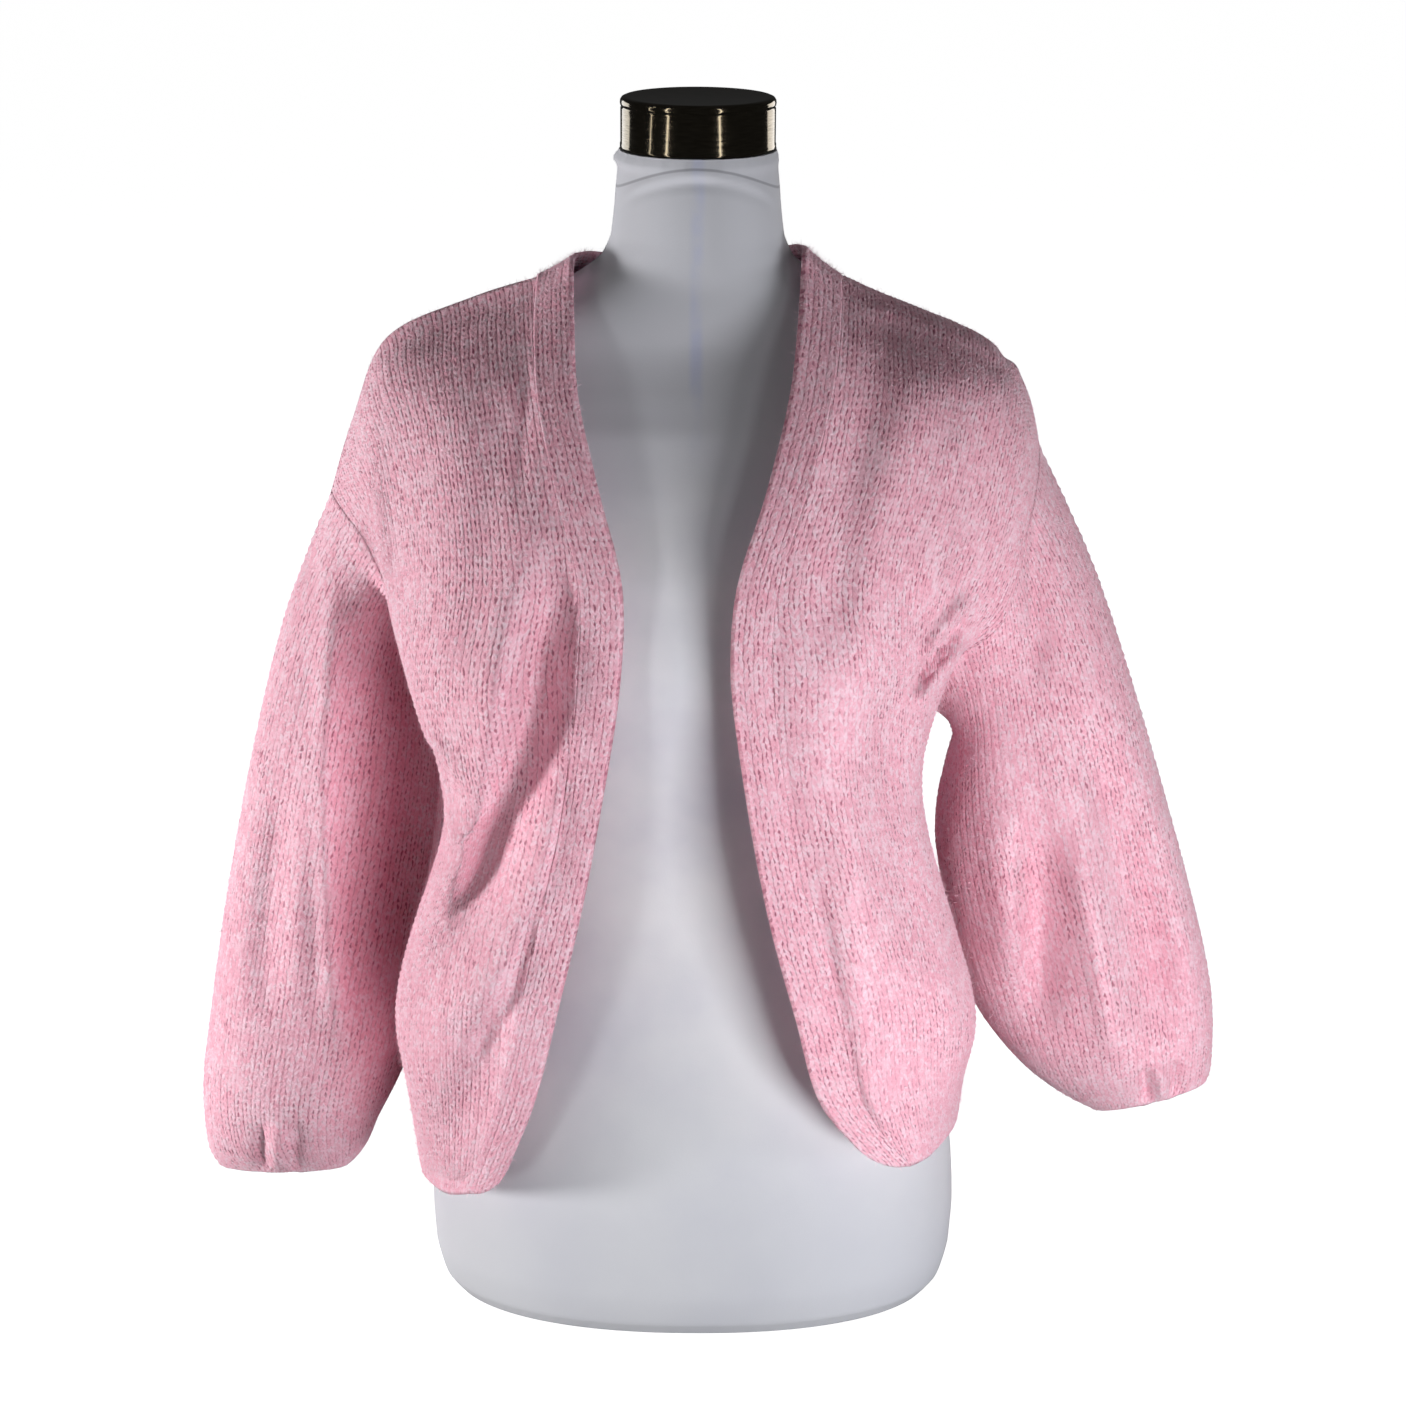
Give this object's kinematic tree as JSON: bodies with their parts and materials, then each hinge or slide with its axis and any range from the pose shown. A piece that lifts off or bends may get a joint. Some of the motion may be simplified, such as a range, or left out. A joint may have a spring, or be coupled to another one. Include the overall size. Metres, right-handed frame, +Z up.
{
  "type": "knitted cardigan on a dress form",
  "caption": "Open-front knitted cardigan with dropped shoulders, balloon sleeves and a narrow front band, standing on a limbless dress form with a metal neck cap.",
  "frame": {"origin": "middle of the dress form's flat base, on the surface it stands on", "axes": "+Z up through the neck cap, -Y to the front of the garment, +X to the wearer's left"},
  "size_m": [0.6681, 0.2953, 0.7888],
  "materials": {
    "form_jersey": "smooth bluish-white jersey",
    "cap_metal": "dark polished metal",
    "pink_knit": "brushed heathered stocking stitch",
    "pink_band": "brushed heathered knit, rolled edge"
  },
  "bodies": {
    "root": {"form_torso": "form_jersey", "form_neck_cap": "cap_metal", "front_right": "pink_knit", "front_left": "pink_knit", "back": "pink_knit", "sleeve_right": "pink_knit", "sleeve_left": "pink_knit", "band": "pink_band"}
  },
  "joints": []
}
